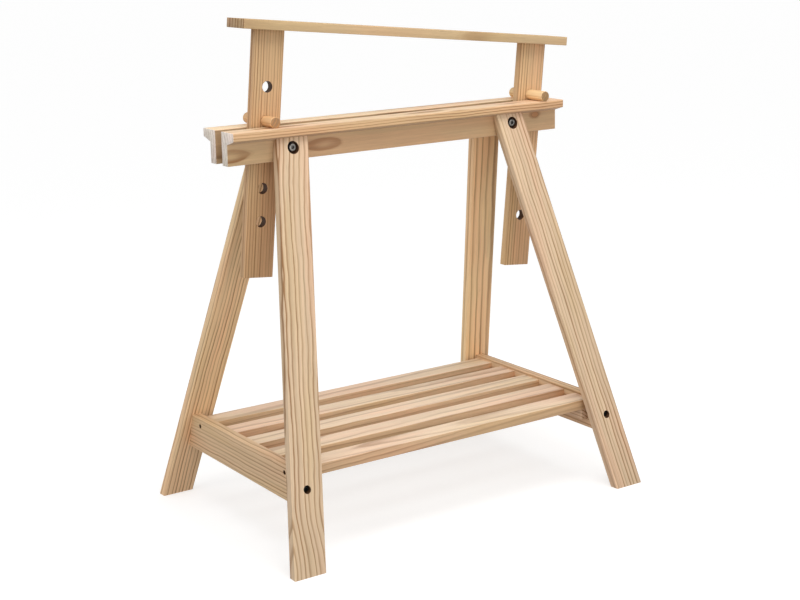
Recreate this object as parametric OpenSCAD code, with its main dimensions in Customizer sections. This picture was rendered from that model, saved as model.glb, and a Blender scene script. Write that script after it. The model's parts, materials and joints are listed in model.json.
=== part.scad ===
// Adjustable trestle with a slatted shelf.
// X runs along the top bar, Y from front to rear, Z up.
// The origin is on the floor under the middle of the four feet.

/* [Rails] */
// Height of the rails' top faces above the floor
rail_top = 719; // [680:1:760]
// Length of each rail
rail_len = 710; // [690:1:760]
// Height of each rail
rail_h = 58; // [54:1:66]
// Thickness of a rail's upright web
web_t = 19; // [17:0.5:22]
// How far a rail's flange stands out past its web
flange_out = 23.5; // [20:0.5:28]
// Thickness of the flange at its outer edge
flange_edge = 14; // [12:0.5:16]
// Width of the slot between the two rails
slot_w = 22; // [20:0.5:26]
// Length of the blocks that hold the rails apart
block_len = 60; // [40:1:80]
// Distance from the middle to the centre of each block
block_x = 180; // [150:1:190]

/* [Legs] */
// Width of the leg boards
leg_w = 60; // [54:1:64]
// Thickness of the leg boards
leg_t = 18; // [16:0.5:20]
// Lean of the legs to the front and to the rear, in degrees
leg_splay = 16.9; // [15:0.1:18]
// Lean of the legs out to the sides, in degrees
leg_rake = 9.7; // [8:0.1:10.5]
// Distance from the middle to a foot's outer face, front to rear
foot_y = 255.5; // [250:0.5:260]
// Distance from the middle to a foot's centre line, side to side
foot_x = 354.5; // [354.5:0.5:370]
// Height of the bolts that hold the legs to the rails
leg_bolt_z = 684.6; // [680:0.1:688]

/* [Shelf] */
// Height of the side rails' top edges
side_rail_top = 167; // [150:1:200]
// Depth of the side rail boards
side_rail_h = 65; // [60:1:68]
// Thickness of the side rail boards
side_rail_t = 19; // [18:0.5:21]
// Distance from the side rails' top edges down to their bolts
side_bolt_drop = 30; // [28:1:31]
// How far the slats lie below the side rails' top edges
slat_drop = 5; // [3:0.5:8]
// Number of slats
slat_n = 5; // [5:1:5]
// Width of each slat
slat_w = 45.5; // [42:0.5:50]
// Thickness of each slat
slat_t = 19; // [17:0.5:20]
// Depth of the slatted shelf, front to rear
shelf_depth = 356; // [340:1:360]
// Side of the square battens under the slats
batten = 20; // [18:1:22]

/* [Top frame] */
// Length of the top bar
bar_len = 700; // [680:1:700]
// Width of the top bar
bar_w = 60; // [50:1:64]
// Thickness of the top bar
bar_t = 16; // [16:0.5:20]
// Length of the posts
post_len = 426; // [400:1:440]
// Width of the posts
post_w = 57; // [50:1:60]
// Thickness of the posts
post_t = 16; // [14:0.5:18]
// Distance between the two posts' centre lines
post_spacing = 574; // [570:1:580]
// Distance between neighbouring peg holes
hole_pitch = 58; // [50:1:62]
// Distance from the top of a post to its first peg hole
hole_first = 96; // [90:1:100]
// Number of peg holes in each post
hole_n = 5; // [5:1:5]
// Diameter of the peg holes
hole_d = 19.6; // [19.6:0.1:21]
// How far the top frame stands off the middle of the rails
frame_shift = 22; // [15:0.5:22]

/* [Pegs] */
// Diameter of the pegs
peg_d = 19; // [18:0.1:19]
// Length of the pegs
peg_len = 100; // [90:1:125]
// How far the left peg is pushed to the rear
left_peg_in = 8; // [0:0.5:15]
// How far the right peg is pulled out to the front
right_peg_out = 5; // [0:0.5:15]

/* [Hidden] */
$fn = 48;

// A cut or a blank reaches this far past the faces that it has to clear
over = 20;
pine = "burlywood";
pale_pine = "wheat";
zinc = "silver";

// Rails: the flange's underside slopes so that a leg's square end bears on it
web_y = slot_w / 2 + web_t;
flange_y = web_y + flange_out;
flange_root = flange_edge + flange_out * tan(leg_splay);
leg_end_z = rail_top - flange_root;
rail_bottom = rail_top - rail_h;
block_top_gap = 10;
block_bottom_gap = 3;

// Legs: heights along a leg's own board are lengths divided by cos(leg_splay)
leg_slant = tan(leg_rake) * cos(leg_splay);
leg_half = leg_w / 2 / cos(atan(leg_slant));
leg_end = (foot_y - web_y) * sin(leg_splay) + leg_end_z * cos(leg_splay);
leg_t_level = leg_t / cos(leg_splay);
function leg_x(z) = foot_x - z * tan(leg_rake);
function leg_outer_y(z) = foot_y - z * tan(leg_splay);
function leg_inner_y(z) = leg_outer_y(z) - leg_t_level;

// Leg bolts: M8 socket screws on washers, in threaded inserts in the webs
leg_bore_d = 22;
leg_bore_y = web_y + 6.5;
m8_d = 8;
m8_clear = 8.6;
m8_head_d = 13;
m8_head_h = 8;
m8_hex = 6;
m8_hex_deep = 4;
m8_len = 25;
washer_d = 17;
washer_t = 1.6;
insert_d = 12;
insert_len = 17;

// Side rails and their M6 bolts, barrel nuts and dowels
side_rail_z = side_rail_top - side_rail_h;
side_bolt_z = side_rail_top - side_bolt_drop;
side_rail_x = leg_x(side_bolt_z);
side_inner_x = side_rail_x - side_rail_t / 2;
side_outer_x = side_rail_x + side_rail_t / 2;
side_bore_d = 14;
side_bore_y = leg_inner_y(side_bolt_z) + 8.5;
m6_d = 6;
m6_clear = 6.6;
m6_head_d = 10;
m6_head_h = 6;
m6_hex = 5;
m6_hex_deep = 3;
m6_len = 50;
barrel_d = 10;
barrel_len = 16;
barrel_y = side_bore_y - m6_len + 7;
dowel_d = 8;
side_dowel_z = side_rail_z + 12;
side_dowel_len = 35;
side_dowel_in_leg = 10;

// Shelf
slat_top = side_rail_top - slat_drop;
slat_bottom = slat_top - slat_t;
slat_step = (shelf_depth - slat_w) / (slat_n - 1);
function slat_y(i) = shelf_depth / 2 - slat_w / 2 - i * slat_step;
batten_len = shelf_depth - 4;
batten_x = side_inner_x - batten / 2;
screw_d = 4;
screw_head_d = 8;
screw_head_h = 3;
slat_screw_len = 32;
batten_screw_len = 30;
end_screw_len = 38;
end_screw_deep = 5;

// Top frame: the left peg is one hole further down than the right peg, so it leans
frame_lean = atan(hole_pitch / post_spacing);
peg_span = post_spacing / cos(frame_lean);
rest_gap = 0.1;
peg_z = rail_top + peg_d / 2 + rest_gap;
left_peg_x = frame_shift - peg_span / 2;
right_peg_x = frame_shift + peg_span / 2;
post_dowel_len = 36;
post_dowel_in_bar = 11;
post_dowel_u = 15;
peg_chamfer = 1.2;

// ---- placing ----

// Puts a front left piece at the corner that sx and sy name
module at_corner(sx, sy) {
    mirror([sx > 0 ? 1 : 0, 0, 0]) mirror([0, sy > 0 ? 1 : 0, 0]) children();
}

module at_every_corner() {
    for (sx = [-1, 1]) for (sy = [-1, 1]) at_corner(sx, sy) children();
}

// Lays a shape that was drawn in the top frame's own axes: u along the bar,
// w up from the underside of the bar
module in_top_frame() {
    translate([left_peg_x, 0, peg_z])
        rotate([0, frame_lean, 0])
            translate([post_spacing / 2, 0, hole_first + hole_pitch])
                children();
}

// A rod of length l along +Y whose near end is at the origin
module rod_y(d, l) {
    rotate([-90, 0, 0]) cylinder(d = d, h = l);
}

// A rod of length l along +X whose near end is at the origin
module rod_x(d, l) {
    rotate([0, 90, 0]) cylinder(d = d, h = l);
}

// ---- fasteners: each lies along +Z with its seat at z = 0 and its head below ----

module socket_screw(d, len, head_d, head_h, hex, hex_deep) {
    difference() {
        union() {
            translate([0, 0, -head_h]) cylinder(d = head_d, h = head_h);
            cylinder(d = d, h = len);
        }
        translate([0, 0, -head_h - 1]) cylinder(d = hex / cos(30), h = hex_deep + 1, $fn = 6);
    }
}

// A countersunk wood screw whose head is flush at z = 0 and whose shank runs up
module wood_screw(len) {
    rotate_extrude() polygon([
        [0, 0], [screw_head_d / 2, 0], [screw_d / 2, screw_head_h],
        [screw_d / 2, len - screw_d], [0, len]
    ]);
}

// ---- rails ----

// The front rail; its slot face is on -slot_w / 2
module rail() {
    top = rail_top;
    difference() {
        translate([-rail_len / 2, 0, 0]) rotate([90, 0, 90]) linear_extrude(rail_len) polygon([
            [-slot_w / 2, rail_bottom], [-slot_w / 2, top], [-flange_y, top],
            [-flange_y, top - flange_edge], [-web_y, top - flange_root], [-web_y, rail_bottom]
        ]);
        for (sx = [-1, 1])
            translate([sx * leg_x(leg_bolt_z), -web_y - 1, leg_bolt_z]) rod_y(insert_d, insert_len + 1);
    }
}

module front_rail() { color(pine) rail(); }

module rear_rail() { color(pine) mirror([0, 1, 0]) rail(); }

module spacer_block(sx) {
    color(pale_pine)
        translate([sx * block_x - block_len / 2, -slot_w / 2, rail_bottom + block_bottom_gap])
            cube([block_len, slot_w, rail_h - block_top_gap - block_bottom_gap]);
}

// ---- legs ----

// The front left leg: a board in a plane that leans by leg_splay, cut flat at the
// floor, square under the flange and bevelled where it bears on the web
module leg() {
    difference() {
        translate([0, -foot_y, 0]) rotate([-leg_splay, 0, 0]) translate([0, leg_t, 0])
            rotate([90, 0, 0]) linear_extrude(leg_t) polygon([
                [-foot_x - over * leg_slant - leg_half, -over],
                [-foot_x - over * leg_slant + leg_half, -over],
                [-foot_x + leg_end * leg_slant + leg_half, leg_end],
                [-foot_x + leg_end * leg_slant - leg_half, leg_end]
            ]);
        translate([-foot_x - leg_w, -foot_y - leg_t, -2 * over])
            cube([2 * leg_w, 3 * leg_t, 2 * over]);
        translate([-foot_x, -web_y, rail_bottom - over]) cube([foot_x, web_y, rail_h + over]);
        translate([-leg_x(leg_bolt_z), -leg_outer_y(leg_bolt_z) - over, leg_bolt_z]) {
            rod_y(m8_clear, over + leg_t_level + leg_t);
            rod_y(leg_bore_d, over + leg_outer_y(leg_bolt_z) - leg_bore_y);
        }
        translate([-side_rail_x, -leg_outer_y(side_bolt_z) - over, side_bolt_z]) {
            rod_y(m6_clear, over + leg_t_level + leg_t);
            rod_y(side_bore_d, over + leg_outer_y(side_bolt_z) - side_bore_y);
        }
        translate([-side_rail_x, -leg_inner_y(side_dowel_z) - side_dowel_in_leg, side_dowel_z])
            rod_y(dowel_d, side_dowel_len);
    }
}

module corner_leg(sx, sy) { color(pine) at_corner(sx, sy) leg(); }

module leg_bolts() {
    color(zinc) at_every_corner()
        translate([-leg_x(leg_bolt_z), -leg_bore_y - washer_t, leg_bolt_z]) rotate([-90, 0, 0])
            socket_screw(m8_d, m8_len, m8_head_d, m8_head_h, m8_hex, m8_hex_deep);
}

module leg_bolt_washers() {
    color("dimgray") at_every_corner()
        translate([-leg_x(leg_bolt_z), -leg_bore_y - washer_t, leg_bolt_z]) difference() {
            rod_y(washer_d, washer_t);
            translate([0, -1, 0]) rod_y(m8_clear, washer_t + 2);
        }
}

module leg_insert_nuts() {
    color(zinc) at_every_corner()
        translate([-leg_x(leg_bolt_z), -web_y, leg_bolt_z]) difference() {
            rod_y(insert_d, insert_len);
            translate([0, -1, 0]) rod_y(m8_d, insert_len + 2);
        }
}

// ---- side rails ----

// The left side rail, with its ends cut to the lean of the legs
module side_rail() {
    z0 = side_rail_z;
    z1 = side_rail_top;
    difference() {
        translate([-side_outer_x, 0, 0]) rotate([90, 0, 90]) linear_extrude(side_rail_t) polygon([
            [-leg_inner_y(z0), z0], [leg_inner_y(z0), z0], [leg_inner_y(z1), z1], [-leg_inner_y(z1), z1]
        ]);
        for (sy = [-1, 1]) mirror([0, sy > 0 ? 1 : 0, 0]) {
            translate([-side_rail_x, -leg_inner_y(side_bolt_z) - over, side_bolt_z])
                rod_y(m6_clear, over + m6_len);
            translate([-side_rail_x, -barrel_y, side_rail_z - 1])
                cylinder(d = barrel_d, h = side_bolt_z + barrel_len / 2 - side_rail_z + 1);
            translate([-side_rail_x, -leg_inner_y(side_dowel_z) - side_dowel_in_leg, side_dowel_z])
                rod_y(dowel_d, side_dowel_len);
            translate([-side_outer_x - 1, -slat_y(0), slat_bottom + slat_t / 2]) {
                rod_x(screw_d, side_rail_t + 2);
                rod_x(screw_head_d, end_screw_deep + 1);
            }
            for (i = [0:1])
                translate([-side_inner_x + batten, -slat_step * (i + 0.5), slat_bottom - batten / 2])
                    rotate([0, -90, 0]) wood_screw(batten_screw_len);
        }
        translate([-side_outer_x + end_screw_deep, 0, slat_bottom + slat_t / 2])
            for (sy = [-1, 1]) translate([0, sy * slat_y(0), 0])
                rotate([0, 90, 0]) wood_screw(end_screw_len);
    }
}

module left_side_rail() { color(pine) side_rail(); }

module right_side_rail() { color(pine) mirror([1, 0, 0]) side_rail(); }

module side_rail_bolts() {
    color("dimgray") at_every_corner()
        translate([-side_rail_x, -side_bore_y, side_bolt_z]) rotate([-90, 0, 0])
            socket_screw(m6_d, m6_len, m6_head_d, m6_head_h, m6_hex, m6_hex_deep);
}

module barrel_nuts() {
    color(zinc) at_every_corner() difference() {
        translate([-side_rail_x, -barrel_y, side_bolt_z - barrel_len / 2])
            cylinder(d = barrel_d, h = barrel_len);
        translate([-side_rail_x, -barrel_y - barrel_d, side_bolt_z]) rod_y(m6_d, 2 * barrel_d);
    }
}

module side_rail_dowels() {
    color(pale_pine) at_every_corner()
        translate([-side_rail_x, -leg_inner_y(side_dowel_z) - side_dowel_in_leg, side_dowel_z])
            rod_y(dowel_d, side_dowel_len);
}

// ---- shelf ----

// Slat i counts from the rear. The outer two are screwed through the side rails,
// and those between them are screwed to the battens.
module slat(i) {
    outer_slat = i == 0 || i == slat_n - 1;
    color(pale_pine) difference() {
        translate([-side_inner_x, slat_y(i) - slat_w / 2, slat_bottom])
            cube([2 * side_inner_x, slat_w, slat_t]);
        for (sx = [-1, 1]) mirror([sx > 0 ? 1 : 0, 0, 0]) {
            if (outer_slat)
                translate([-side_outer_x + end_screw_deep, slat_y(i), slat_bottom + slat_t / 2])
                    rotate([0, 90, 0]) wood_screw(end_screw_len);
            else
                translate([-batten_x, slat_y(i), slat_bottom - batten]) wood_screw(slat_screw_len);
        }
    }
}

module batten_piece() {
    difference() {
        translate([-side_inner_x, -batten_len / 2, slat_bottom - batten])
            cube([batten, batten_len, batten]);
        for (i = [1:slat_n - 2])
            translate([-batten_x, slat_y(i), slat_bottom - batten]) wood_screw(slat_screw_len);
        for (sy = [-1, 1]) for (i = [0:1])
            translate([-side_inner_x + batten, sy * slat_step * (i + 0.5), slat_bottom - batten / 2])
                rotate([0, -90, 0]) wood_screw(batten_screw_len);
    }
}

module left_batten() { color(pine) batten_piece(); }

module right_batten() { color(pine) mirror([1, 0, 0]) batten_piece(); }

module slat_screws() {
    color(zinc) for (sx = [-1, 1]) for (i = [1:slat_n - 2])
        translate([sx * batten_x, slat_y(i), slat_bottom - batten]) wood_screw(slat_screw_len);
}

module batten_screws() {
    color(zinc) for (sx = [-1, 1]) mirror([sx > 0 ? 1 : 0, 0, 0])
        for (sy = [-1, 1]) for (i = [0:1])
            translate([-side_inner_x + batten, sy * slat_step * (i + 0.5), slat_bottom - batten / 2])
                rotate([0, -90, 0]) wood_screw(batten_screw_len);
}

module slat_end_screws() {
    color("dimgray") at_every_corner()
        translate([-side_outer_x + end_screw_deep, -slat_y(0), slat_bottom + slat_t / 2])
            rotate([0, 90, 0]) wood_screw(end_screw_len);
}

// ---- top frame ----

module post_dowels_at(u) {
    for (s = [-1, 1])
        translate([u + s * post_dowel_u, 0, post_dowel_in_bar - post_dowel_len])
            cylinder(d = dowel_d, h = post_dowel_len);
}

module post_dowels() {
    color(pale_pine) in_top_frame() for (s = [-1, 1]) post_dowels_at(s * post_spacing / 2);
}

module top_bar() {
    color(pale_pine) in_top_frame() difference() {
        translate([-bar_len / 2, -bar_w / 2, 0]) cube([bar_len, bar_w, bar_t]);
        for (s = [-1, 1]) post_dowels_at(s * post_spacing / 2);
    }
}

module post(s) {
    u = s * post_spacing / 2;
    color(pine) in_top_frame() difference() {
        translate([u - post_w / 2, -post_t / 2, -post_len]) cube([post_w, post_t, post_len]);
        for (i = [0:hole_n - 1])
            translate([u, -post_t / 2 - 1, -hole_first - i * hole_pitch]) rod_y(hole_d, post_t + 2);
        post_dowels_at(u);
    }
}

module peg(x, y) {
    h = peg_len / 2;
    r = peg_d / 2;
    color(pale_pine) translate([x, y, peg_z]) rotate([90, 0, 0]) rotate_extrude() polygon([
        [0, -h], [r - peg_chamfer, -h], [r, -h + peg_chamfer],
        [r, h - peg_chamfer], [r - peg_chamfer, h], [0, h]
    ]);
}

top_bar();
post(-1);  // left_post
post(1);  // right_post
post_dowels();
peg(left_peg_x, left_peg_in);  // left_peg
peg(right_peg_x, -right_peg_out);  // right_peg
front_rail();
rear_rail();
spacer_block(-1);  // left_spacer_block
spacer_block(1);  // right_spacer_block
corner_leg(-1, -1);  // front_left_leg
corner_leg(1, -1);  // front_right_leg
corner_leg(-1, 1);  // rear_left_leg
corner_leg(1, 1);  // rear_right_leg
leg_bolts();
leg_bolt_washers();
leg_insert_nuts();
left_side_rail();
right_side_rail();
side_rail_bolts();
barrel_nuts();
side_rail_dowels();
slat(0);  // shelf_slat_1
slat(1);  // shelf_slat_2
slat(2);  // shelf_slat_3
slat(3);  // shelf_slat_4
slat(4);  // shelf_slat_5
left_batten();
right_batten();
slat_screws();
batten_screws();
slat_end_screws();
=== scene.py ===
import json
import math

import bmesh
import bpy
from mathutils import Matrix, Vector


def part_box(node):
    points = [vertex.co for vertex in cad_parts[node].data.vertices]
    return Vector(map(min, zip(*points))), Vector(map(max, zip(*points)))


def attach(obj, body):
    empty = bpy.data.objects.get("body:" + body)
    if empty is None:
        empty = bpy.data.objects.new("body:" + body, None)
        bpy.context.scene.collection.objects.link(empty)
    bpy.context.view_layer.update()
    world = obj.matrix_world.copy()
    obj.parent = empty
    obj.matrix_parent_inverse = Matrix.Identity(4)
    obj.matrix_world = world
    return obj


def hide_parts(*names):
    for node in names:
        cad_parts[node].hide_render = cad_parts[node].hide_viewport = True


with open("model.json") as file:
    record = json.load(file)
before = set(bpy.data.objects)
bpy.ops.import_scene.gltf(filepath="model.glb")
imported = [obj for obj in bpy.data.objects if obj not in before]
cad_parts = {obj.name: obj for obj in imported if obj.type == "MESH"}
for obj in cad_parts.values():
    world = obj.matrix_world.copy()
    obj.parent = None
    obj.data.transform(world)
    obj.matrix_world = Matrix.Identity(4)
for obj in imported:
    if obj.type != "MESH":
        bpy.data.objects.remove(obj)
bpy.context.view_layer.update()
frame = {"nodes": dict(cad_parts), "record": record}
nodes = frame["nodes"]
scene = bpy.context.scene
MM = 0.001


# ---------------------------------------------------------------- camera

# Yaw, pitch and roll in degrees
CAMERA_ANGLES = (-33.963, -13.822, -1.184)
CAMERA_PLACE = (-1.5641, -2.3331, 1.0618)
SENSOR_WIDTH = 36
LENS = 69.98
CLIP_END = 200


def add_camera():
    """Adds a camera at the photograph's viewpoint, as far as it could be fitted."""
    yaw, pitch, roll = (math.radians(a) for a in CAMERA_ANGLES)
    ahead = Vector((-math.sin(yaw) * math.cos(pitch),
                    math.cos(yaw) * math.cos(pitch), math.sin(pitch)))
    right = Vector((math.cos(yaw), math.sin(yaw), 0))
    up = right.cross(ahead)
    right, up = (right * math.cos(roll) + up * math.sin(roll),
                 up * math.cos(roll) - right * math.sin(roll))
    camera = bpy.data.objects.new("Camera", bpy.data.cameras.new("Camera"))
    camera.data.sensor_width = SENSOR_WIDTH
    camera.data.lens = LENS
    camera.data.clip_end = CLIP_END
    turn = Matrix((right, up, -ahead)).transposed().to_4x4()
    camera.matrix_world = Matrix.Translation(CAMERA_PLACE) @ turn
    scene.collection.objects.link(camera)
    scene.camera = camera


# ---------------------------------------------------------------- materials

# Screen colours of the early and the late wood, where a board has none of its own
EARLY = (221, 192, 158)
LATE = (150, 108, 68)
# Factors on the wood's colour: painted shade inside a drilled hole, and the tints in its rosy
# and straw patches
HOLE_PAINTED_SHADE = (0.15, 0.1, 0.07, 1)
ROSY_TINT = (1.04, 0.96, 0.955, 1)
STRAW_TINT = (0.97, 0.965, 0.9, 1)
# A rail's flange is paler wood, and this factor also paints light on it
FLANGE_TONE_AND_LIGHT = 1.22
# How far a hump in the rings reaches, across and along the board, in metres
HUMP_HALF = (0.013, 0.036)
# Factor on distances along the board round a knot, which draws the knot out
KNOT_ALONG = 0.62
SMALLEST_KNOT = 0.0005
E = 2.718


def linear(r, g, b):
    """A colour given as 0 to 255 screen values, as linear light."""
    return tuple((c / 255) ** 2.2 for c in (r, g, b)) + (1,)


class Nodes:
    """Adds nodes to one tree and links them, so that a pattern reads as formulas."""

    def __init__(self, tree):
        self.tree = tree

    def add(self, kind, inputs=(), out=0, **options):
        node = self.tree.nodes.new(kind)
        for name, value in options.items():
            setattr(node, name, value)
        items = inputs.items() if isinstance(inputs, dict) else enumerate(inputs)
        for key, value in items:
            if isinstance(value, bpy.types.NodeSocket):
                self.tree.links.new(value, node.inputs[key])
            else:
                node.inputs[key].default_value = value
        return node.outputs[out]

    def attribute(self, name):
        return self.add("ShaderNodeAttribute", attribute_name=name, out=2)

    def math(self, operation, *values, clamp=False):
        return self.add("ShaderNodeMath", values, operation=operation, use_clamp=clamp)

    def product(self, value, *others):
        for other in others:
            value = self.math("MULTIPLY", value, other)
        return value

    def bell(self, distance, fall):
        squared = self.math("POWER", distance, 2.0)
        return self.math("POWER", E, self.math("MULTIPLY", squared, -fall))

    def vector(self, operation, *values, out=0):
        return self.add("ShaderNodeVectorMath", values, out=out, operation=operation)

    def scaled(self, vector, factors):
        return self.vector("MULTIPLY", vector, factors)

    def length(self, vector):
        return self.vector("LENGTH", vector, out=1)

    def parts(self, vector):
        return self.add("ShaderNodeSeparateXYZ", [vector]).node.outputs

    def noise(self, vector, scale=1.0, detail=2.0, rough=0.5):
        return self.add("ShaderNodeTexNoise",
                        {"Vector": vector, "Scale": scale, "Detail": detail, "Roughness": rough})

    def wave(self, vector, scale=1.0, detail=2.0):
        """Noise about zero."""
        return self.math("SUBTRACT", self.noise(vector, scale, detail), 0.5)

    def smooth(self, value, low, high, to_low=0.0, to_high=1.0):
        return self.add("ShaderNodeMapRange",
                        {"Value": value, "From Min": low, "From Max": high,
                         "To Min": to_low, "To Max": to_high}, interpolation_type="SMOOTHSTEP")

    def mix(self, factor, a, b, blend="MIX"):
        return self.add("ShaderNodeMix", {0: factor, 6: a, 7: b}, out=2,
                        data_type="RGBA", blend_type=blend)

    def tinted(self, colour, tint, amount):
        return self.mix(amount, colour, self.mix(1.0, colour, tint, "MULTIPLY"))


def knot_pattern(n, place, given):
    """The knot, an ellipse drawn out along the grain.

    Gives the distance from its middle in knot radii, whether there is a knot at all,
    and how far it pushes the rings aside.
    """
    offset = n.scaled(n.vector("SUBTRACT", place, given["Knot"]), (1, 0, KNOT_ALONG))
    wobble = n.math("MULTIPLY", n.wave(place, 90.0), 0.003)
    from_knot = n.math("ADD", n.length(offset), wobble)
    in_knots = n.math("DIVIDE", from_knot, n.math("MAXIMUM", given["KnotSize"], 0.0001))
    has_knot = n.math("GREATER_THAN", given["KnotSize"], SMALLEST_KNOT)
    swell = n.product(n.bell(in_knots, 0.22), has_knot,
                      n.math("MULTIPLY", given["KnotSize"], 1.6))
    return in_knots, has_knot, swell


def ring_count(n, place, given, flange, swell):
    """Distance from the pith, in rings, which wander along the board.

    A flange has its own pith, and its rings are closer by the third number of "Flange".
    """
    moved = n.add("ShaderNodeVectorMath", {0: given["Flange"], "Scale": flange},
                  operation="SCALE")
    closer = n.math("ADD", n.parts(moved)[2], 1.0)
    radius = n.length(n.scaled(n.vector("ADD", place, moved), (1, 1, 0)))
    for factors, detail, amount in (
            ((11, 11, 2.6), 1.5, given["Wander"]),
            ((14, 14, 8), 2.0, given["Wave"]),
            ((90, 90, 26), 2.0, n.math("MULTIPLY", given["Wave"], 0.22))):
        radius = n.math("MULTIPLY_ADD", n.wave(n.scaled(place, factors), 1.0, detail), amount,
                        radius)
    radius = n.math("ADD", radius, swell)
    on_web = n.math("SUBTRACT", 1.0, flange)
    for key in ("HumpA", "HumpB"):
        away = n.scaled(n.vector("SUBTRACT", place, given[key]),
                        (1 / HUMP_HALF[0], 0, 1 / HUMP_HALF[1]))
        hump = n.product(n.bell(n.length(away), 1.0), on_web)
        radius = n.math("MULTIPLY_ADD", hump, n.parts(given[key])[1], radius)
    rings = n.product(n.math("DIVIDE", radius, given["Ring"]), closer)
    uneven = n.add("ShaderNodeTexNoise", {"W": n.math("MULTIPLY", rings, 0.55), "Detail": 1.0,
                                          "Scale": 1.0}, noise_dimensions="1D")
    return n.math("MULTIPLY_ADD", n.math("SUBTRACT", uneven, 0.5), given["Uneven"], rings)


def late_wood(n, place, given, rings, end):
    """How dark the late wood is: it rises through a year and stops short at the next."""
    year = n.math("FLOOR", rings)
    part = n.math("FRACT", rings)
    late = n.product(n.smooth(part, 0.5, 0.84), n.smooth(part, 0.9, 0.99, 1.0, 0.0))
    late = n.math("MAXIMUM", late, n.smooth(part, 0.1, 0.8, 0.0, 0.22))
    strength = n.add("ShaderNodeTexWhiteNoise", {"W": year}, noise_dimensions="1D")
    strength = n.math("MULTIPLY_ADD", strength, 0.5, 0.5)
    along = n.noise(n.scaled(place, (26, 26, 3)))
    late = n.product(late, strength, n.smooth(along, 0.3, 0.62, 0.6, 1.1))
    stain = n.math("MULTIPLY", late, given["Contrast"], clamp=True)
    return n.math("MULTIPLY", stain, n.math("MULTIPLY_ADD", end, given["EndStain"], 1.0),
                  clamp=True)


def knot_coloured(n, colour, in_knots, has_knot):
    """The colour with the knot in it: a halo, the knot's own rings and a dark rim."""
    knot_ring = n.math("FRACT", n.math("MULTIPLY", in_knots, 4.0))
    knot_colour = n.mix(n.smooth(knot_ring, 0.2, 0.9), linear(188, 138, 94),
                        linear(158, 106, 66))
    rim = n.product(n.smooth(in_knots, 0.8, 0.95), n.smooth(in_knots, 1.0, 1.18, 1.0, 0.0),
                    has_knot, 0.35)
    inside = n.product(n.smooth(in_knots, 0.9, 1.05, 1.0, 0.0), has_knot)
    halo = n.product(n.smooth(in_knots, 0.9, 2.2, 0.25, 0.0), has_knot)
    colour = n.tinted(colour, linear(214, 176, 132), halo)
    colour = n.mix(inside, colour, knot_colour)
    return n.mix(rim, colour, linear(104, 62, 36))


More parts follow.
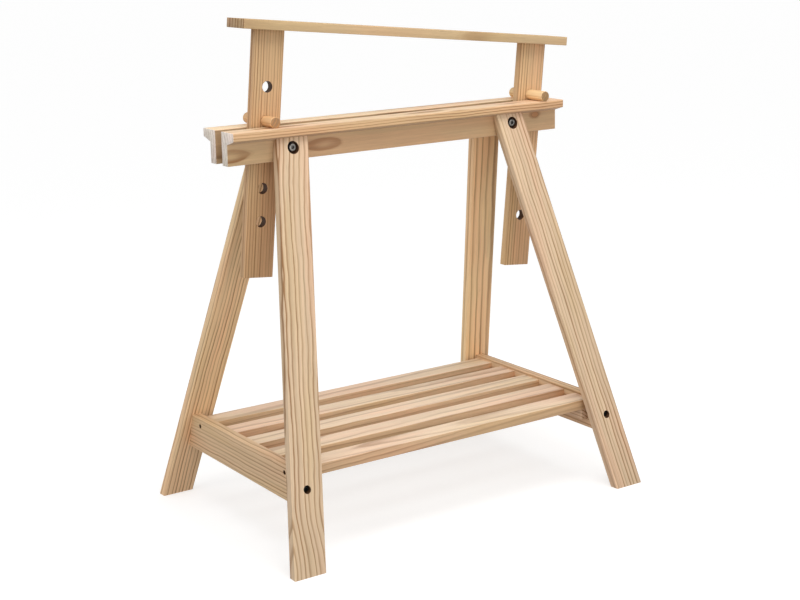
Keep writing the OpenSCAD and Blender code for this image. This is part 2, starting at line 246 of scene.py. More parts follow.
def pine_group():
    """The wood itself: growth rings round a pith, with fibres, resin ducts and a knot.

    The mesh attribute "grain" holds each point's place beside the pith, in metres, with
    the pith along Z. Five more say what a face is: "end" is 1 on sawn ends, "side" on the
    narrow sides, which get painted light on the rails' tops and painted shade on the slats'
    fronts and backs, "edge" on eased edges, which are a little lighter, partly as sanded wood
    and partly as a painted highlight, and "flange" on a rail's flange, which is paler wood and
    partly painted light, and "bore" is 1 inside drilled holes and SLOT_SHADE on the sides of
    the slot between the rails, where it gives painted shade.
    "Sweep" is a sideways shift of the rings, and the two places along the board where it
    starts and is complete.
    """
    tree = bpy.data.node_groups.new("PineWood", "ShaderNodeTree")
    for side, kind, names in (
            ("INPUT", "NodeSocketColor", "Early Late EndGrain SideTint"),
            ("INPUT", "NodeSocketFloat", "EndStain Ring Contrast Wander Wave Uneven KnotSize"),
            ("INPUT", "NodeSocketVector", "Sweep Knot HumpA HumpB Flange"),
            ("OUTPUT", "NodeSocketColor", "Color"),
            ("OUTPUT", "NodeSocketFloat", "Roughness Height")):
        for name in names.split():
            tree.interface.new_socket(name, in_out=side, socket_type=kind)
    n = Nodes(tree)
    given = tree.nodes.new("NodeGroupInput").outputs
    result = tree.nodes.new("NodeGroupOutput")
    end, flange = n.attribute("end"), n.attribute("flange")
    place = n.add("ShaderNodeAttribute", attribute_name="grain", out=1)
    sweep, sweep_from, sweep_to = n.parts(given["Sweep"])
    swept = n.product(n.smooth(n.parts(place)[2], sweep_from, sweep_to), sweep)
    place = n.vector("ADD", place, n.add("ShaderNodeCombineXYZ", [swept]))

    in_knots, has_knot, swell = knot_pattern(n, place, given)
    rings = ring_count(n, place, given, flange, swell)
    stain = late_wood(n, place, given, rings, end)

    # Fibres, resin ducts and slow changes of tone
    fibre = n.noise(n.scaled(place, (900, 900, 22)), 1.0, 3.0, 0.6)
    streak = n.noise(n.scaled(place, (210, 210, 5)))
    duct = n.smooth(n.noise(n.scaled(place, (1300, 1300, 42)), 1.0, 1.0), 0.66, 0.74)
    tone = n.noise(n.scaled(place, (16, 16, 2.4)))
    pores = n.noise(n.scaled(place, (1500, 1500, 90)), 1.0, 2.0, 0.7)

    ground = n.mix(end, given["Early"], given["EndGrain"])
    colour = n.mix(stain, ground, given["Late"])
    # Painted light on the rails' tops and painted shade on the slats' fronts and backs
    colour = n.tinted(colour, given["SideTint"], n.attribute("side"))
    colour = n.tinted(colour, ROSY_TINT, n.smooth(tone, 0.46, 0.62))
    colour = n.tinted(colour, STRAW_TINT, n.smooth(tone, 0.34, 0.48, 1.0, 0.0))
    dim = n.product(n.smooth(fibre, 0.25, 0.75, 0.93, 1.05),
                    n.smooth(streak, 0.3, 0.7, 0.93, 1.05),
                    n.math("SUBTRACT", 1.0, n.math("MULTIPLY", duct, 0.16)),
                    # Eased edges a little lighter: partly sanded wood, partly a painted
                    # highlight
                    n.smooth(n.attribute("edge"), 0.0, 1.0, 1.0, 1.06),
                    # The flange paler: partly paler wood, partly painted light
                    n.smooth(flange, 0.0, 1.0, 1.0, FLANGE_TONE_AND_LIGHT))
    dim = n.math("SUBTRACT", dim, n.product(end, n.smooth(pores, 0.3, 0.7, 0.2, 0.0)))
    grey = n.add("ShaderNodeCombineColor", [dim, dim, dim])
    colour = n.mix(1.0, colour, grey, "MULTIPLY")
    # Painted shade inside drilled holes and on the sides of the slot between the rails
    colour = n.tinted(colour, HOLE_PAINTED_SHADE, n.attribute("bore"))
    colour = knot_coloured(n, colour, in_knots, has_knot)

    rough = n.math("SUBTRACT", n.smooth(fibre, 0.2, 0.8, 0.56, 0.7),
                   n.math("MULTIPLY", stain, 0.12))
    rough = n.math("ADD", rough, n.math("MULTIPLY", end, 0.12))
    height = n.math("MULTIPLY_ADD", stain, 0.5, n.math("MULTIPLY", fibre, 0.6))
    height = n.math("SUBTRACT", height, n.math("MULTIPLY", duct, 0.35))
    height = n.math("MULTIPLY_ADD", n.product(pores, end), 1.2, height)
    for name, value in (("Color", colour), ("Roughness", rough), ("Height", height)):
        tree.links.new(value, result.inputs[name])
    return tree


def material(name):
    made = bpy.data.materials.new(name)
    made.use_nodes = True
    tree = made.node_tree
    tree.nodes.clear()
    shader = tree.nodes.new("ShaderNodeBsdfPrincipled")
    output = tree.nodes.new("ShaderNodeOutputMaterial")
    tree.links.new(shader.outputs[0], output.inputs[0])
    return made, Nodes(tree), shader


def bumped(n, shader, height, distance, strength=0.5):
    normal = n.add("ShaderNodeBump", {"Strength": strength, "Distance": distance,
                                      "Height": height})
    n.tree.links.new(normal, shader.inputs["Normal"])


def pine(name, look):
    """One board's own wood. What a look can say, with lengths in mm:

    pith: where the pith lies from the board's middle, across the board and through it
    lean: how far it moves across and through for each mm along the board
    seed: the place in the noise, in metres; each board has its own
    ring, wander, wave, uneven: how wide the rings are, and how irregular
    sweep: a sideways shift, and the places along the board where it starts and is complete
    knot: its place across and along the board, and its radius
    hump_a, hump_b: places across and along, and how far the rings are pushed there
    flange, closer: how far the flange's pith is shifted, and how much closer its rings are
    flange_from: how far across the board a rail's flange starts; the flange is paler wood and
    also gets painted light
    slot_y: faces nearer than this to the middle plane lie in the slot, which gets painted shade
    early, late, end: the colours of early wood, late wood and sawn ends
    side: the factors on the colour of the narrow sides, which paint light or shade on them
    contrast, end_stain: how dark the late wood is, and how much more so on sawn ends
        (less, where it is below 0)
    """
    made, n, shader = material(name)
    wood = n.tree.nodes.new("ShaderNodeGroup")
    wood.node_tree = WOOD
    early = look.get("early", EARLY)
    lean, pith, seed = look.get("lean", (0, 0)), look["pith"], look["seed"]
    sweep, sweep_from, sweep_to = look.get("sweep", (0, 0, 1))
    knot_across, knot_along, knot_radius = look.get("knot", (0, 0, 0))
    flange_across, flange_through = look.get("flange", (0, 0))

    def beside_pith(across, along, amount=0):
        return ((across - pith[0] - lean[0] * along) * MM, amount * MM, along * MM + seed)

    for key, value in (
            ("Early", linear(*early)), ("Late", linear(*look.get("late", LATE))),
            ("EndGrain", linear(*look.get("end", early))),
            ("SideTint", look.get("side", (1, 1, 1)) + (1,)),
            ("EndStain", look.get("end_stain", 0.4)),
            ("Ring", look["ring"] * MM), ("Contrast", look.get("contrast", 0.9)),
            ("Wander", look.get("wander", 5) * MM), ("Wave", look.get("wave", 6) * MM),
            ("Uneven", look.get("uneven", 0.8)),
            ("Sweep", (sweep * MM, sweep_from * MM + seed, sweep_to * MM + seed)),
            ("Knot", beside_pith(knot_across, knot_along)), ("KnotSize", knot_radius * MM),
            ("HumpA", beside_pith(*look.get("hump_a", (0, 0, 0)))),
            ("HumpB", beside_pith(*look.get("hump_b", (0, 0, 0)))),
            ("Flange", (flange_across * MM, flange_through * MM, look.get("closer", 0)))):
        wood.inputs[key].default_value = value
    n.tree.links.new(wood.outputs["Color"], shader.inputs["Base Color"])
    n.tree.links.new(wood.outputs["Roughness"], shader.inputs["Roughness"])
    shader.inputs["Specular IOR Level"].default_value = 0.3
    bumped(n, shader, wood.outputs["Height"], 0.00025)
    return made


def metal(name, colour, dark, rough):
    """Plated steel: a satin finish with fine scratches and slightly dull patches."""
    made, n, shader = material(name)
    place = n.add("ShaderNodeTexCoord", out=3)
    patch = n.noise(place, 160.0, 3.0)
    scratch = n.noise(n.scaled(place, (300, 2600, 1500)), 1.0, 2.0, 0.6)
    tint = n.mix(n.smooth(patch, 0.35, 0.7), linear(*colour), linear(*dark))
    n.tree.links.new(tint, shader.inputs["Base Color"])
    worn = n.math("ADD", n.smooth(patch, 0.3, 0.7, rough - 0.07, rough + 0.07),
                  n.smooth(scratch, 0.3, 0.7, -0.05, 0.05))
    n.tree.links.new(worn, shader.inputs["Roughness"])
    shader.inputs["Metallic"].default_value = 1.0
    bumped(n, shader, scratch, 0.00004, 0.4)
    return made


# ---------------------------------------------------------------- wooden pieces

# Corners of the CAD mesh nearer than this are one corner
SAME_CORNER = 0.00001
# Edges that turn by more than this are eased
EASED_FROM = math.radians(12)
# Edges that turn by more than this stay sharp in the shading
SHARP_FROM = math.radians(38)
EASE_SEGMENTS = 3
# An edge lies along the board, and a face looks along one of its axes, above these cosines
ALONG = 0.94
FACING = 0.6
# Faces of a hull that turn by less than this are one side of the board
ONE_SIDE = math.radians(0.6)
# The end of a board's length that counts as its upper one
LENGTHWISE = (1, 0.3, 0.6)
# A rail that reaches beyond this in Y is the front one, and its end is this thin, in metres
FRONT_RAIL_Y = -0.02
RAIL_END_BAND = 0.0001
# How far apart the seeds of one node's solids are
SEED_STEP = 0.37
# A face lies on a plane of the plain solid within these, as 1 - cosine and in metres
PLANE_TURN = 0.0005
PLANE_GAP = 0.00005
# A face deeper in the board than this, in mm, lies in a hole
BORE_DEPTH = 1.2
# How much of the painted shade inside a hole is painted on the sides of the slot between the
# rails
SLOT_SHADE = 0.4


def solids_of(node):
    """The separate solids of a CAD node, each as the list of its corners."""
    bm = bmesh.new()
    bm.from_mesh(nodes[node].data)
    bmesh.ops.remove_doubles(bm, verts=bm.verts, dist=SAME_CORNER)
    bm.verts.ensure_lookup_table()
    seen, found = set(), []
    for start in bm.verts:
        if start in seen:
            continue
        stack, group = [start], []
        seen.add(start)
        while stack:
            vert = stack.pop()
            group.append(vert.co.copy())
            for link in vert.link_edges:
                other = link.other_vert(vert)
                if other not in seen:
                    seen.add(other)
                    stack.append(other)
        found.append(group)
    bm.free()
    return found


def extent(points):
    return (Vector(min(p[i] for p in points) for i in range(3)),
            Vector(max(p[i] for p in points) for i in range(3)))


def hull(points):
    """The convex solid round the points, with one face to a side."""
    bm = bmesh.new()
    for point in points:
        bm.verts.new(point)
    made = bmesh.ops.convex_hull(bm, input=bm.verts)
    spare = [v for v in made["geom_interior"] + made["geom_unused"]
             if isinstance(v, bmesh.types.BMVert)]
    bmesh.ops.delete(bm, geom=list(set(spare)), context="VERTS")
    bmesh.ops.dissolve_limit(bm, angle_limit=ONE_SIDE, verts=bm.verts, edges=bm.edges)
    bmesh.ops.recalc_face_normals(bm, faces=bm.faces)
    return bm


def rail_solid(points):
    """A rail from its end's outline, which has a web and a flange."""
    low, high = extent(points)
    outline = {(round(p.y, 5), round(p.z, 5)) for p in points
               if p.x < low.x + RAIL_END_BAND}
    side = -1 if low.y < FRONT_RAIL_Y else 1
    across = sorted({abs(y) for y, _ in outline})
    slot, web, flange = across[0], across[1], across[-1]
    edge_z = min(z for y, z in outline if abs(y) == flange)
    root_z = max(z for y, z in outline if abs(y) == web)
    ring = [(slot, low.z), (slot, high.z), (flange, high.z),
            (flange, edge_z), (web, root_z), (web, low.z)]
    bm = bmesh.new()
    ends = [[bm.verts.new((x, side * y, z)) for y, z in ring] for x in (low.x, high.x)]
    for end in ends:
        bm.faces.new(end)
    for i in range(len(ring)):
        j = (i + 1) % len(ring)
        bm.faces.new((ends[0][i], ends[0][j], ends[1][j], ends[1][i]))
    bmesh.ops.recalc_face_normals(bm, faces=bm.faces)
    return bm


def board_axes(bm, towards):
    """Length, width and thickness directions of a board, and its middle."""
    long_edge = max(bm.edges, key=lambda e: e.calc_length())
    length = (long_edge.verts[1].co - long_edge.verts[0].co).normalized()
    if length.dot(Vector(LENGTHWISE)) < 0:
        length = -length
    face = max(bm.faces, key=lambda f: f.calc_area())
    thick = face.normal.copy()
    thick = (thick - length * thick.dot(length)).normalized()
    if thick.dot(Vector(towards)) < 0:
        thick = -thick
    low, high = extent([v.co for v in bm.verts])
    return length, thick.cross(length), thick, (low + high) / 2


def finished(bm, axes, ease, ease_end):
    """The solid with eased edges: more along the board than round its sawn ends."""
    length = axes[0]
    layer = bm.edges.layers.float.new("bevel_weight_edge")
    for edge in bm.edges:
        if not (edge.is_manifold and edge.is_convex) or edge.calc_face_angle() < EASED_FROM:
            continue
        direction = (edge.verts[1].co - edge.verts[0].co).normalized()
        edge[layer] = 1.0 if abs(direction.dot(length)) > ALONG else ease_end / ease
    mesh = bpy.data.meshes.new("Solid")
    planes = [(f.normal.copy(), f.normal.dot(f.verts[0].co)) for f in bm.faces]
    bm.to_mesh(mesh)
    bm.free()
    piece = bpy.data.objects.new("Solid", mesh)
    scene.collection.objects.link(piece)
    bevel = piece.modifiers.new("Ease", "BEVEL")
    bevel.limit_method = "WEIGHT"
    bevel.width = ease * MM
    bevel.segments = EASE_SEGMENTS
    bevel.use_clamp_overlap = True
    apply_modifiers(piece)
    return piece, planes


def apply_modifiers(piece):
    graph = bpy.context.evaluated_depsgraph_get()
    mesh = bpy.data.meshes.new_from_object(piece.evaluated_get(graph), depsgraph=graph)
    old = piece.data
    piece.modifiers.clear()
    piece.data = mesh
    bpy.data.meshes.remove(old)


# Two radii of a cutter are this far apart along it at a step, in mm
SMALL_STEP = 0.01
# Sides of the small turned shapes, and of a socket
SMALL_SIDES = 32
HEXAGON = 6


def cutter(start, direction, profile, sides=56):
    """A turned cutter: profile is (distance along, radius) pairs from start."""
    direction = Vector(direction).normalized()
    turn = direction.to_track_quat("Z", "Y").to_matrix()
    bm = bmesh.new()
    rows = []
    for along, radius in profile:
        rows.append([bm.verts.new(Vector(start) + turn @ Vector((
            radius * MM * math.cos(2 * math.pi * i / sides),
            radius * MM * math.sin(2 * math.pi * i / sides), along * MM)))
            for i in range(sides)])
    for a, b in zip(rows, rows[1:]):
        for i in range(sides):
            j = (i + 1) % sides
            bm.faces.new((a[i], a[j], b[j], b[i]))
    bm.faces.new(rows[0])
    bm.faces.new(rows[-1])
    bmesh.ops.recalc_face_normals(bm, faces=bm.faces)
    return bm


def cut(piece, cutters):
    """Cuts the cutters out of the piece."""
    whole = bmesh.new()
    for bm in cutters:
        part = bpy.data.meshes.new("Part")
        bm.to_mesh(part)
        bm.free()
        whole.from_mesh(part)
        bpy.data.meshes.remove(part)
    mesh = bpy.data.meshes.new("Cutter")
    whole.to_mesh(mesh)
    whole.free()
    tool = bpy.data.objects.new("Cutter", mesh)
    scene.collection.objects.link(tool)
    drill = piece.modifiers.new("Drill", "BOOLEAN")
    drill.operation = "DIFFERENCE"
    drill.solver = "EXACT"
    drill.use_self = True
    drill.object = tool
    bpy.context.view_layer.update()
    apply_modifiers(piece)
    bpy.data.objects.remove(tool)
    bpy.data.meshes.remove(mesh)


def through_hole(centre, direction, radius, thick, chamfer=0.5, clear=6):
    """A cutter for a hole right through a board, with broken edges on both faces.

    It starts and ends clear of the board, and flares by as much on the way out.
    """
    direction = Vector(direction)
    start = Vector(centre) - direction * (thick / 2 + clear) * MM
    rim = radius + chamfer
    return cutter(start, direction, [
        (0, rim + clear), (clear - SMALL_STEP, rim), (clear + chamfer, radius),
        (clear + thick - chamfer, radius), (clear + SMALL_STEP + thick, rim),
        (2 * clear + thick, rim + clear)])


def mark(piece, axes, planes, look, seed):
    """Gives the wood its grain: where each point lies beside the pith."""
    length, width, thick, middle = axes
    pith, lean = look["pith"], look.get("lean", (0, 0))
    flange_from, slot_y = look.get("flange_from", 1000), look.get("slot_y", 0)
    mesh = piece.data
    grain = mesh.attributes.new("grain", "FLOAT_VECTOR", "POINT")
    values = []
    for vert in mesh.vertices:
        off = vert.co - middle
        along = off.dot(length)
        values += [off.dot(width) - pith[0] * MM - lean[0] * along,
                   off.dot(thick) - pith[1] * MM - lean[1] * along,
                   along + seed]
    grain.data.foreach_set("vector", values)
    marks = {"end": [], "side": [], "edge": [], "bore": [], "flange": []}
    for face in mesh.polygons:
        depth = min(d - n.dot(face.center) for n, d in planes)
        on_plane = any(abs(face.normal.dot(n) - 1) < PLANE_TURN
                       and abs(n.dot(face.center) - d) < PLANE_GAP for n, d in planes)
        inside = depth > BORE_DEPTH * MM
        face.use_smooth = not on_plane
        marks["end"].append(abs(face.normal.dot(length)) > FACING and not inside)
        marks["side"].append(abs(face.normal.dot(width)) > FACING)
        marks["edge"].append(not on_plane and not inside)
        # bore: painted shade inside holes and on the sides of the slot between the rails
        marks["bore"].append(max(inside, SLOT_SHADE * (abs(face.center.y) < slot_y * MM)))
        marks["flange"].append((face.center - middle).dot(width) > flange_from * MM
                               and abs(face.normal.dot(length)) < FACING)
    for name, values in marks.items():
        mesh.attributes.new(name, "FLOAT", "FACE").data.foreach_set("value", values)
    mesh.set_sharp_from_angle(angle=SHARP_FROM)


def joined(name, pieces):
    """The pieces as one object of that name."""
    if len(pieces) > 1:
        whole = bmesh.new()
        for piece in pieces:
            whole.from_mesh(piece.data)
        mesh = bpy.data.meshes.new(name)
        whole.to_mesh(mesh)
        whole.free()
        for piece in pieces[1:]:
            old = piece.data
            bpy.data.objects.remove(piece)
            bpy.data.meshes.remove(old)
        pieces[0].data = mesh
        mesh.set_sharp_from_angle(angle=SHARP_FROM)
    pieces[0].name = name
    pieces[0].data.name = name
    return pieces[0]


def body_of(node):
    for body, members in frame["record"]["behaviour"]["bodies"].items():
        if node in members:
            return body
    raise KeyError(node)


def camel(node):
    return node.title().replace("_", "")


def stand_in(node, pieces, paint):
    """Joins the pieces into the one that shows in place of the CAD node."""
    piece = joined(camel(node), pieces)
    piece.data.materials.clear()
    piece.data.materials.append(paint)
    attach(piece, body_of(node))
    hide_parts(node)


def wooden(node, look, drill=None, ease=1.3, ease_end=0.5, solid=hull,
           towards=(-0.4, -1, 0.6)):
    """Replaces a CAD board by one with eased edges and its own piece of pine.

    The ease is the width of the broken edges in mm, and towards says which of the
    board's two faces counts as its front.
    """
    pieces = []
    for i, points in enumerate(solids_of(node)):
        bm = solid(points)
        axes = board_axes(bm, towards)
        piece, planes = finished(bm, axes, ease, ease_end)
        if drill:
            cut(piece, drill(axes))
        mark(piece, axes, planes, look, look["seed"] + SEED_STEP * i)
        pieces.append(piece)
    stand_in(node, pieces, pine("Pine" + camel(node), look))


# ---------------------------------------------------------------- holes

# In mm: the holes and bores
PEG_HOLE_R = 9.8
PEG_PITCH = 58
POST_T = 16
LEG_BORE_R = 11
LEG_CLEAR_R = 4.3
SIDE_BORE_R = 7
SIDE_CLEAR_R = 3.3
SIDE_HEAD_H = 6
SCREW_RECESS_R = 4
SCREW_CORE_R = 2
# Where the cutters for the bolts begin and end, in mm from the middle plane
LEG_BORE_FROM, LEG_BORE_TO = 90, 0
SIDE_BORE_FROM, SIDE_BORE_TO = 250, 150
# How far outside a screw's head its cutter begins, its taper and its length, in mm
SCREW_CLEAR, SCREW_TAPER, SCREW_CUT_L = 20, 3, 44

side_bolts = [extent(p) for p in solids_of("side_rail_bolts")]
washers = [extent(p) for p in solids_of("leg_bolt_washers")]
end_screws = [extent(p) for p in solids_of("slat_end_screws")]


def on_side(boxes, sx, sy):
    for low, high in boxes:
        middle = (low + high) / 2
        if middle.x * sx > 0 and middle.y * sy > 0:
            return low, high, middle
    raise KeyError((sx, sy))


def bolt_hole(middle, sy, floor, bore, clearance, begin, end):
    """A stepped cutter along Y: wide for the head as far as the floor, then narrow."""
    wide = begin - floor / MM
    return cutter((middle.x, sy * begin * MM, middle.z), (0, -sy, 0), [
        (0, bore), (wide, bore), (wide + SMALL_STEP, clearance), (begin - end, clearance)])


def leg_drill(sx, sy):
    """The holes for a leg's upper bolt, which stands on a washer, and its lower one."""
    def drill(_axes):
        low, high, middle = on_side(washers, sx, sy)
        upper = bolt_hole(middle, sy, min(abs(low.y), abs(high.y)),
                          LEG_BORE_R, LEG_CLEAR_R, LEG_BORE_FROM, LEG_BORE_TO)
        low, high, middle = on_side(side_bolts, sx, sy)
        lower = bolt_hole(middle, sy, max(abs(low.y), abs(high.y)) - SIDE_HEAD_H * MM,
                          SIDE_BORE_R, SIDE_CLEAR_R, SIDE_BORE_FROM, SIDE_BORE_TO)
        return [upper, lower]
    return drill


def post_drill(peg, steps):
    """The peg holes of a post, counted in steps up or down from its peg."""
    low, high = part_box(peg)
    centre = (low + high) / 2
    centre.y = 0

    def drill(axes):
        up = axes[0] if axes[0].z > 0 else -axes[0]
        return [through_hole(centre + up * step * PEG_PITCH * MM, (0, 1, 0),
                             PEG_HOLE_R, POST_T) for step in steps]
    return drill


def side_drill(sx):
    """Recesses for the two screw heads on the outer face."""
    def drill(_axes):
        made = []
        for sy in (-1, 1):
            low, high, middle = on_side(end_screws, sx, sy)
            head = max(abs(low.x), abs(high.x))
            start = (sx * (head + SCREW_CLEAR * MM), middle.y, middle.z)
            made.append(cutter(start, (-sx, 0, 0), [
                (0, SCREW_RECESS_R), (SCREW_CLEAR, SCREW_RECESS_R),
                (SCREW_CLEAR + SCREW_TAPER, SCREW_CORE_R), (SCREW_CUT_L, SCREW_CORE_R)],
                SMALL_SIDES))
        return made
    return drill


# ---------------------------------------------------------------- fasteners

# In mm: head radius, head height, shank radius, width across the socket's flats, its depth
M8_BOLT = (6.5, 8, 4, 6, 4)
M6_BOLT = (5, 6, 3, 5, 3)
# In mm: a wood screw's head radius, its head's height and its point's length
SCREW_HEAD_R, SCREW_HEAD_H, SCREW_POINT = 4, 3, 4
# In mm: the length and width of an arm of the cross recess, and twice its depth
CROSS = (4.4, 0.9, 3.6)
# Corners of the CAD mesh this near to a fastener's end belong to it, in metres
END_BAND = 0.0003


def head_of(points):
    """A fastener's head end, the direction from it to the tip, and the length in mm."""
    low, high = extent(points)
    size, middle = high - low, (low + high) / 2
    k = max(range(3), key=lambda axis: size[axis])
    ends = []
    for end in (low[k], high[k]):
        ring = [p for p in points if abs(p[k] - end) < END_BAND]
        start = middle.copy()
        start[k] = end
        ends.append((max((p - start).length for p in ring), start))
    (_, tip), (_, head) = sorted(ends, key=lambda e: e[0])
    return head, (tip - head).normalized(), (tip - head).length / MM


def loose_piece(bm):
    mesh = bpy.data.meshes.new("Solid")
    bm.to_mesh(mesh)
    bm.free()
    piece = bpy.data.objects.new("Solid", mesh)
    scene.collection.objects.link(piece)
    return piece


def socket_bolt(head, direction, length, sizes):
    """A socket head bolt with a broken rim and a countersunk hexagon.

    The small bare numbers are the sizes of eased corners in mm.
    """
    r, h, shank, across, deep = sizes
    piece = loose_piece(cutter(head, direction, [
        (0, r - 0.8), (0.25, r - 0.3), (0.8, r), (h - 0.3, r), (h, r - 0.3), (h, shank + 0.3),
        (h + 0.4, shank), (length - 0.9, shank), (length, shank - 0.8)]))
    corner = across / 2 / math.cos(math.pi / HEXAGON)
    above = -1
    cut(piece, [cutter(head, direction, [(above, corner), (deep, corner)], HEXAGON)])
    cut(piece, [cutter(head, direction, [(above, corner + 1.3), (0.6, across / 2 - 0.1)])])
    return piece


def wood_screw(head, direction, length):
    """A countersunk screw with a cross recess."""
    piece = loose_piece(cutter(head, direction, [
        (0, SCREW_HEAD_R - 0.25), (0.3, SCREW_HEAD_R), (SCREW_HEAD_H, SCREW_CORE_R),
        (length - SCREW_POINT, SCREW_CORE_R), (length, 0.3)], SMALL_SIDES))
    turn = direction.to_track_quat("Z", "Y").to_matrix().to_4x4()
    long, narrow, deep = CROSS
    for size in ((long, narrow, deep), (narrow, long, deep)):
        bm = bmesh.new()
        bmesh.ops.create_cube(bm, size=MM, matrix=Matrix.Translation(head) @ turn
                              @ Matrix.Diagonal((*size, 1)))
        cut(piece, [bm])
    return piece


def fastener(node, steel, make):
    """Replaces the CAD fasteners of a node by finished ones in the same places."""
    pieces = [make(*head_of(points)) for points in solids_of(node)]
    for piece in pieces:
        for face in piece.data.polygons:
            face.use_smooth = True
        piece.data.set_sharp_from_angle(angle=SHARP_FROM)
    stand_in(node, pieces, steel)


# ---------------------------------------------------------------- build

add_camera()
WOOD = pine_group()

# The colour of the rails' sawn ends, and the factors on the colour of their tops, which are
# painted light
RAIL_END = (255, 243, 230)
RAIL_TOP_LIGHT = (1.15, 1.28, 1.54)
# Where a rail's flange starts, and how near to the middle plane its side of the slot lies, which
# gets painted shade
RAIL = dict(end=RAIL_END, side=RAIL_TOP_LIGHT, flange_from=14, slot_y=11.5)
SIDE_RAIL_EARLY = (224, 190, 150)

# The front rail's darker early colour is partly painted shade on its web under the flange
wooden("front_rail", dict(pith=(-8, -102.3), ring=9, seed=1.3, wander=3, wave=5, uneven=0,
                          early=(201, 167, 126), late=(146, 101, 61), contrast=1.15,
                          end_stain=-0.7, knot=(3, 305, 5), hump_a=(-8, -163, -3.8),
                          hump_b=(-14, -347, -4.6), flange=(34, -102), closer=0.9, **RAIL),
       solid=rail_solid, towards=(0, -1, 0))
wooden("rear_rail", dict(pith=(12, -48), lean=(0.01, 0.02), ring=8, seed=3.1, wander=7, wave=5,
                         early=(228, 194, 148), contrast=0.7, end_stain=-0.5, flange=(30, -30),
                         closer=0.7, **RAIL),
       solid=rail_solid, towards=(0, -1, 0))
for name, sx, sy, look in (
        ("front_left_leg", -1, -1, dict(pith=(-84, -50), lean=(0.008, 0.0), ring=7.8, seed=5.2,
                                        wander=8, wave=9, sweep=(15, -240, -372))),
        ("front_right_leg", 1, -1, dict(pith=(-92, -60), lean=(-0.006, 0.004), ring=6.2,
                                        seed=7.7, wander=5, wave=6)),
        # The rear legs' lighter early colours are painted light, for the light from below on
        # their faces that look down
        ("rear_left_leg", -1, 1, dict(pith=(98, -40), lean=(0.006, 0.0), ring=6.5, seed=9.4,
                                      wander=6, wave=6, early=(242, 208, 162))),
        ("rear_right_leg", 1, 1, dict(pith=(-60, -70), lean=(0.004, 0.0), ring=9, seed=11.9,
                                      wander=6, wave=3, early=(255, 221, 170)))):
    wooden(name, look, drill=leg_drill(sx, sy), ease=1.6)

wooden("top_bar", dict(pith=(-150, -6), lean=(0.02, 0.0), ring=10, seed=13.5, wander=9, wave=4,
                       contrast=0.75, early=(204, 174, 132), end=(196, 166, 128),
                       end_stain=1.2), towards=(0, 0, 1), ease=1.0)
wooden("left_post", dict(pith=(90, -30), lean=(0.004, 0.0), ring=5, seed=15.1, wander=5,
                         wave=3, early=(207, 171, 127), late=(146, 103, 60), contrast=0.9),
       drill=post_drill("left_peg", (1, 0, -1, -2, -3)), towards=(0, -1, 0))
wooden("right_post", dict(pith=(110, -30), lean=(0.003, 0.0), ring=6, seed=17.3, wander=4,
                          wave=3, early=(220, 183, 138), late=(152, 108, 66), contrast=0.85),
       drill=post_drill("right_peg", (0, -1, -2, -3, -4)), towards=(0, -1, 0))
wooden("post_dowels", dict(pith=(20, 12), ring=5, seed=19.0), ease=0.6)
for name, seed, early in (("left_peg", 21.0, (222, 185, 136)),
                          ("right_peg", 23.0, (246, 212, 162))):
    wooden(name, dict(pith=(14, 9), ring=6, seed=seed, early=early, wave=2,
                      late=(196, 146, 92), contrast=0.6, end=(166, 132, 95)),
           ease=0.6, ease_end=0.6)

for name, sx, look in (
        ("left_side_rail", -1, dict(pith=(-96, -40), lean=(0.012, 0.0), ring=6.4, seed=25.0,
                                    wander=6, wave=6, early=SIDE_RAIL_EARLY)),
        ("right_side_rail", 1, dict(pith=(-66, -40), lean=(-0.01, 0.0), ring=7, seed=27.0,
                                    wander=5, early=SIDE_RAIL_EARLY))):
    wooden(name, look, drill=side_drill(sx), towards=(-1, 0, 0))

for i, look in enumerate((
        dict(pith=(-22, -66), lean=(0.006, 0.012), ring=9),
        dict(pith=(24, -60), lean=(-0.01, 0.01), ring=10),
        dict(pith=(-30, -60), lean=(0.008, 0.006), ring=9),
        dict(pith=(26, -62), lean=(0.006, -0.01), ring=10),
        dict(pith=(8, -40), lean=(-0.01, 0.03), ring=8))):
    # side: painted shade that makes the slats' fronts and backs darker and browner
    look.update(seed=31.0 + 2.1 * i, wander=7, wave=5, early=(238, 212, 182), contrast=0.5,
                side=(0.79, 0.67, 0.54))
    wooden(f"shelf_slat_{i + 1}", look, towards=(0, 0, 1), ease=1.0)

for name, seed in (("left_batten", 45.0), ("right_batten", 47.0)):
    wooden(name, dict(pith=(-40, -30), ring=6, seed=seed), towards=(0, 0, 1), ease=0.8)
for name, seed in (("left_spacer_block", 49.0), ("right_spacer_block", 51.0)):
    wooden(name, dict(pith=(-30, -30), ring=6, seed=seed), towards=(0, 0, 1), ease=0.6)
wooden("side_rail_dowels", dict(pith=(20, 12), ring=5, seed=53.0), ease=0.6)

zinc = metal("ZincPlatedSteel", (196, 196, 192), (150, 150, 148), 0.34)
dark_steel = metal("DarkSteel", (44, 43, 42), (24, 23, 22), 0.46)
dull_steel = metal("DullSteel", (128, 125, 120), (88, 86, 83), 0.4)
fastener("leg_bolts", dull_steel, lambda *head: socket_bolt(*head, M8_BOLT))
fastener("side_rail_bolts", dark_steel, lambda *head: socket_bolt(*head, M6_BOLT))
fastener("slat_screws", zinc, wood_screw)
fastener("batten_screws", zinc, wood_screw)
fastener("slat_end_screws", dark_steel, wood_screw)
# The washers are dark steel and also stand in for the deep shade in the counterbores round the
# bolt heads: partly painted shade
for name, steel in (("leg_bolt_washers", dark_steel), ("leg_insert_nuts", zinc),
                    ("barrel_nuts", zinc)):
    for slot in nodes[name].material_slots:
        slot.material = steel


# ---------------------------------------------------------------- stage

FLOOR_GLOW = 0.55
FLOOR_COLOUR = (0.6, 0.6, 0.6, 1)
# Half the floor's width, and the backdrop's height, foot and distance, in metres
REACH = 60
WALL_H = 30
WALL_FOOT = -0.5
WALL_R = 0.98 * REACH
WALL_SIDES = 32
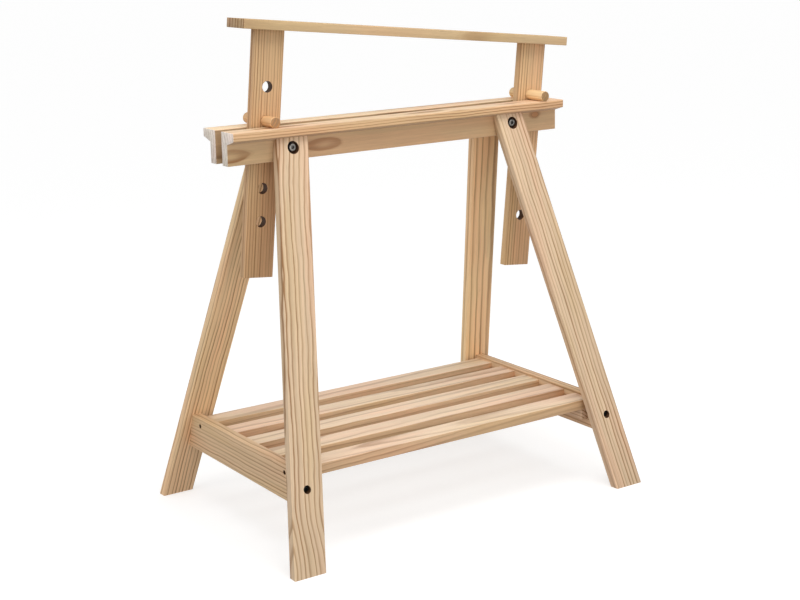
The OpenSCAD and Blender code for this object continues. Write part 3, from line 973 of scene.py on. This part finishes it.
# The sky's light on faces that look down and up, and the slopes between which it changes
SKY = (0.35, 0.675)
SKY_SLOPES = (-0.4, 0.5)


def glowing(name, light, colour=(0, 0, 0, 1)):
    """Plain paint that also gives off some light of its own."""
    made, _, shader = material(name)
    shader.inputs["Base Color"].default_value = colour
    shader.inputs["Roughness"].default_value = 0.9
    shader.inputs["Specular IOR Level"].default_value = 0.0
    shader.inputs["Emission Color"].default_value = (1, 1, 1, 1)
    shader.inputs["Emission Strength"].default_value = light
    return made


def stage(name, corners, faces, paint):
    """A stage piece, which the camera sees and which lights nothing."""
    mesh = bpy.data.meshes.new(name)
    mesh.from_pydata(corners, [], faces)
    mesh.materials.append(paint)
    piece = bpy.data.objects.new(name, mesh)
    piece.visible_diffuse = False
    piece.visible_shadow = False
    scene.collection.objects.link(piece)


stage("Floor", [(-REACH, -REACH, 0), (REACH, -REACH, 0), (REACH, REACH, 0), (-REACH, REACH, 0)],
      [(0, 1, 2, 3)], glowing("FloorPaint", FLOOR_GLOW, FLOOR_COLOUR))
wall = [(WALL_R * math.cos(2 * math.pi * i / WALL_SIDES),
         WALL_R * math.sin(2 * math.pi * i / WALL_SIDES)) for i in range(WALL_SIDES)]
stage("Backdrop", [(x, y, z) for z in (WALL_FOOT, WALL_H) for x, y in wall],
      [(i, (i + 1) % WALL_SIDES, WALL_SIDES + (i + 1) % WALL_SIDES, WALL_SIDES + i)
       for i in range(WALL_SIDES)], glowing("BackdropPaint", 1.0))


def add_light(name, kind, energy, towards, place=(0, 0, 0), **options):
    light = bpy.data.objects.new(name, bpy.data.lights.new(name, kind))
    light.data.energy = energy
    for key, value in options.items():
        setattr(light.data, key, value)
    light.location = place
    light.visible_camera = False
    light.rotation_euler = Vector(towards).to_track_quat("-Z", "Y").to_euler()
    scene.collection.objects.link(light)


add_light("Over", "AREA", 11, (0, 0.35, -1), place=(0, -0.6, 1.9),
          shape="RECTANGLE", size=1.8, size_y=0.9)
add_light("Front", "AREA", 9.5, (0.1, 1.9, -0.25), place=(-0.2, -1.9, 0.8),
          shape="RECTANGLE", size=1.6, size_y=1.0)
add_light("Left", "SUN", 0.5, (1, 0.25, -0.5), angle=math.radians(35))

world = bpy.data.worlds.new("Studio")
world.use_nodes = True
sky_nodes = Nodes(world.node_tree)
up = sky_nodes.parts(sky_nodes.add("ShaderNodeTexCoord"))[2]
glow = sky_nodes.add("ShaderNodeMapRange", {
    "Value": up, "From Min": SKY_SLOPES[0], "From Max": SKY_SLOPES[1],
    "To Min": SKY[0], "To Max": SKY[1]})
background = world.node_tree.nodes["Background"]
background.inputs[0].default_value = (1, 1, 1, 1)
world.node_tree.links.new(glow, background.inputs[1])
scene.world = world
scene.view_settings.view_transform = "Standard"


bpy.context.view_layer.update()
